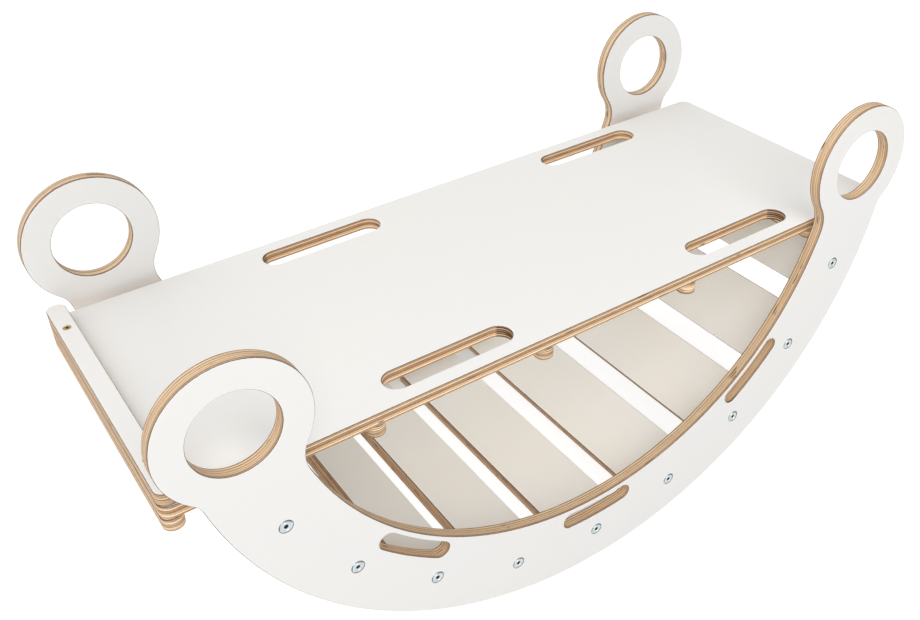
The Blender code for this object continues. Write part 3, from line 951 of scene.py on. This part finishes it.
def add_bolt(data, number, side, zinc):
    node = f"connector_bolt_{side}_{number}"
    low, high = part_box(node)
    spot = (low + high) / 2
    spot.y = high.y if side == "back" else low.y
    matrix = facing_out(side, spot) @ Matrix.Rotation(BOLT_TURN * number, 4, "Z")
    name = f"bolt_{side}_{number}"
    add_piece(name, data, matrix, node, "rocker", zinc, tag_turned, number)


# ---------------------------------------------------------------- play board


def screw_spots():
    return [centre_of(f"batten_screw_{side}") for side in SIDES]


def board_mesh():
    node = "play_board"
    middle = centre_of(node)
    outline = rounded_rectangle(thickness_of(node, 0), thickness_of(node, 1), BOARD_CORNER)
    slots = []
    for left, right in ((2, 3), (4, 5)):
        x = (centre_of(f"board_rung_{left}").x + centre_of(f"board_rung_{right}").x) / 2 - middle.x
        for side in (-1, 1):
            slot = stadium(Vector((x, side * BOARD_SLOT_Y)), BOARD_SLOT_LENGTH, BOARD_SLOT_WIDTH)
            slots.append(edge_rings(slot[::-1]))
    steps = ((SCREW_BORE_RADIUS, PLY), (SCREW_BORE_RADIUS, 0.0))
    holes = [bore_rings((spot - middle).to_2d(), steps) for spot in screw_spots()]
    return body_mesh(edge_rings(outline), through=holes, slots=slots)


def crosspiece_mesh(node, steps=(), pockets=()):
    """A strip with half-round ends along X, bored at the screws right through or part way."""
    outline = stadium(Vector((0.0, 0.0)), thickness_of(node, 1), thickness_of(node, 0))
    through = [bore_rings(Vector((spot.y, 0.0)), steps) for spot in screw_spots() if steps]
    blind = [bore_rings(Vector((spot.y, 0.0)), pockets) for spot in screw_spots() if pockets]
    return body_mesh(edge_rings(outline), through=through, blind=blind)


def screw_mesh():
    """A countersunk screw with a six-lobed recess."""
    profile = (
        (SCREW_HEAD_RADIUS, 0.0),
        (SCREW_HEAD_RADIUS, -SCREW_RIM),
        (SCREW_SHANK_RADIUS, -SCREW_HEAD_HEIGHT),
        (SCREW_SHANK_RADIUS, SCREW_TIP_LENGTH - SCREW_LENGTH),
        (SCREW_TIP_RADIUS, -SCREW_LENGTH),
    )
    star = []
    for height, shrink in ((0.0, 1.0), (-SCREW_STAR_DEPTH, SCREW_STAR_TAPER)):
        ring = []
        for i in range(STAR_FACETS):
            angle = math.tau * i / STAR_FACETS
            wave = SCREW_STAR_WAVE * math.cos(SCREW_STAR_LOBES * angle)
            radius = shrink * (SCREW_STAR_RADIUS + wave)
            ring.append(Vector((radius * math.cos(angle), radius * math.sin(angle), height)))
        star.append(ring)
    return body_mesh(turned_rings(profile, BORE_FACETS), blind=[star])


def add_board(ply, brass):
    spot = centre_of("play_board")
    spot.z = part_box("play_board")[0].z
    matrix = basis(ALONG, ACROSS, UP, spot)
    data = board_mesh()
    add_piece("play_deck", data, matrix, "play_board", "board", ply, tag_sheet, DECK_SHEET)
    add_crosspiece("batten", "end_batten", ply, BATTEN_SHEET, steps=(
        (SCREW_SINK_RADIUS, PLY),
        (SCREW_SINK_RADIUS, PLY - SCREW_RIM),
        (SCREW_BORE_RADIUS, PLY - SCREW_HEAD_HEIGHT - SCREW_RIM),
        (SCREW_BORE_RADIUS, 0.0),
    ))
    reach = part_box("board_rung_1")[1].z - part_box("batten_screw_front")[0].z
    pocket = ((SCREW_BORE_RADIUS, PLY), (SCREW_BORE_RADIUS, PLY - reach - SCREW_POCKET_SPARE))
    for number in RUNGS:
        pockets = pocket if number == 1 else ()
        node = f"board_rung_{number}"
        add_crosspiece(f"rung_{number}", node, ply, BATTEN_SHEET + number, pockets=pockets)
    screw = screw_mesh()
    for shift, side in enumerate(SIDES):
        node = f"batten_screw_{side}"
        head = centre_of(node)
        head.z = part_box(node)[1].z
        turn = SCREW_TURN + SCREW_TURN_STEP * shift
        matrix = Matrix.Translation(head) @ Matrix.Rotation(turn, 4, "Z")
        name = f"screw_{side}"
        add_piece(name, screw, matrix, node, "board", brass, tag_turned, shift)


def add_crosspiece(name, node, ply, shift, steps=(), pockets=()):
    spot = centre_of(node)
    spot.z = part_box(node)[0].z
    matrix = basis(ACROSS, -ALONG, UP, spot)
    data = crosspiece_mesh(node, steps, pockets)
    add_piece(name, data, matrix, node, "board", ply, tag_sheet, shift)


# ---------------------------------------------------------------- floor, light and camera


FLOOR_RADIUS = 14.0
FLOOR_FACETS = 96
FLOOR_GLOW = 0.70
FLOOR_BOUNCE = 0.50
FLOOR_WHITE = 0.45
WHITE = (1.0, 1.0, 1.0, 1.0)
KEY_POWER = 62.5
KEY_SIZE = 2.8
KEY_SPOT = (-0.55, -2.6, 2.6)
KEY_AIM = (0.0, 0.0, 0.15)
KEY_COLOUR = (0.99, 0.997, 1.0)
SKY_GLOWS = (
    ((-0.2, 0.8, 0.5), 1.16, (1.0, 0.988, 0.968)),
    ((-0.7, -0.5, 0.5), 0.60, (1.0, 0.995, 0.985)),
)
CAMERA_SENSOR_MM = 36.0
CAMERA_LENS_MM = 41.747
CAMERA_SHIFT = (-0.0557, -0.0313)
CAMERA_SPOT = (-0.58932, -0.91214, 1.0149)
CAMERA_DEGREES = (56.458, 1.513, -35.034)


def add_floor():
    """A pale sweep, faintly lit from within so that it stays nearly free of shadows."""
    rim = turned_rings(((FLOOR_RADIUS, 0.0),), FLOOR_FACETS)[0]
    mesh = bmesh.new()
    mesh.faces.new([mesh.verts.new(point) for point in rim])
    floor = bpy.data.objects.new("floor", to_data("floor", mesh))
    bpy.context.scene.collection.objects.link(floor)
    g = Graph(bpy.data.materials.new("pale_floor"))
    material = g.shade(
        "Principled BSDF",
        Base_Color=(FLOOR_WHITE, FLOOR_WHITE, FLOOR_WHITE, 1.0),
        Roughness=0.9,
        Emission_Color=WHITE,
        Emission_Strength=g.mix(g.seen_directly(), FLOOR_BOUNCE, FLOOR_GLOW),
    )
    floor.data.materials.append(material)


def add_world():
    """Soft white light that comes mostly from behind and from the left."""
    world = bpy.data.worlds.new("studio")
    bpy.context.scene.world = world
    g = Graph(world)
    ray = g.node("NewGeometry").outputs["Incoming"]
    total = (0.0, 0.0, 0.0)
    for direction, strength, colour in SKY_GLOWS:
        towards = -Vector(direction).normalized()
        glow = g.calc("MULTIPLY", g.dot(ray, towards), strength)
        tint = g.tinted(colour, g.calc("MAXIMUM", glow, 0.0))
        total = g.node("VectorMath", total, tint, operation="ADD").outputs[0]
    g.shade("Background", Color=g.mix_colour(g.seen_directly(), total, WHITE), Strength=1.0)


def add_key_light():
    """A large round softbox in front of the rocker and above it."""
    data = bpy.data.lights.new("key", "AREA")
    data.shape = "DISK"
    data.size = KEY_SIZE
    data.energy = KEY_POWER
    data.color = KEY_COLOUR
    lamp = bpy.data.objects.new("key", data)
    bpy.context.scene.collection.objects.link(lamp)
    lamp.location = KEY_SPOT
    lamp.rotation_mode = "QUATERNION"
    lamp.rotation_quaternion = (Vector(KEY_AIM) - Vector(KEY_SPOT)).to_track_quat("-Z", "Y")


def add_camera():
    """A short telephoto view from the left, in front and above."""
    data = bpy.data.cameras.new("camera")
    data.sensor_width = CAMERA_SENSOR_MM
    data.lens = CAMERA_LENS_MM
    data.shift_x, data.shift_y = CAMERA_SHIFT
    camera = bpy.data.objects.new("camera", data)
    bpy.context.scene.collection.objects.link(camera)
    camera.location = CAMERA_SPOT
    camera.rotation_euler = [math.radians(angle) for angle in CAMERA_DEGREES]
    bpy.context.scene.camera = camera


def build():
    ply = ply_material("film_faced_birch_ply", FILM_WHITE, FILM_WARM, PANEL_EDGE)
    deck_ply = ply_material("film_faced_birch_ply_pale", FILM_WHITE, FILM_WARM, DECK_EDGE)
    # The slats' ply has painted light on its film and painted shade on its edges
    slat_ply_painted = ply_material("slat_ply_painted_light_and_shade", FILM_SLAT_PAINTED_LIGHT, FILM_SLAT_PAINTED_LIGHT_WARM, SLAT_EDGE_SHADE)
    socket_radius = BOLT_SOCKET_FLATS / math.sqrt(3)
    zinc = metal_material("zinc_plate", ZINC, ZINC_DULL, socket_radius, 0.30)
    brass = metal_material("brass_plate", BRASS, BRASS_DULL, SCREW_STAR_RADIUS, 0.28)
    add_panels(ply)
    add_slats(slat_ply_painted, zinc)
    add_board(deck_ply, brass)
    add_floor()
    add_world()
    add_key_light()
    add_camera()
    bpy.context.scene.view_settings.view_transform = "Standard"


build()
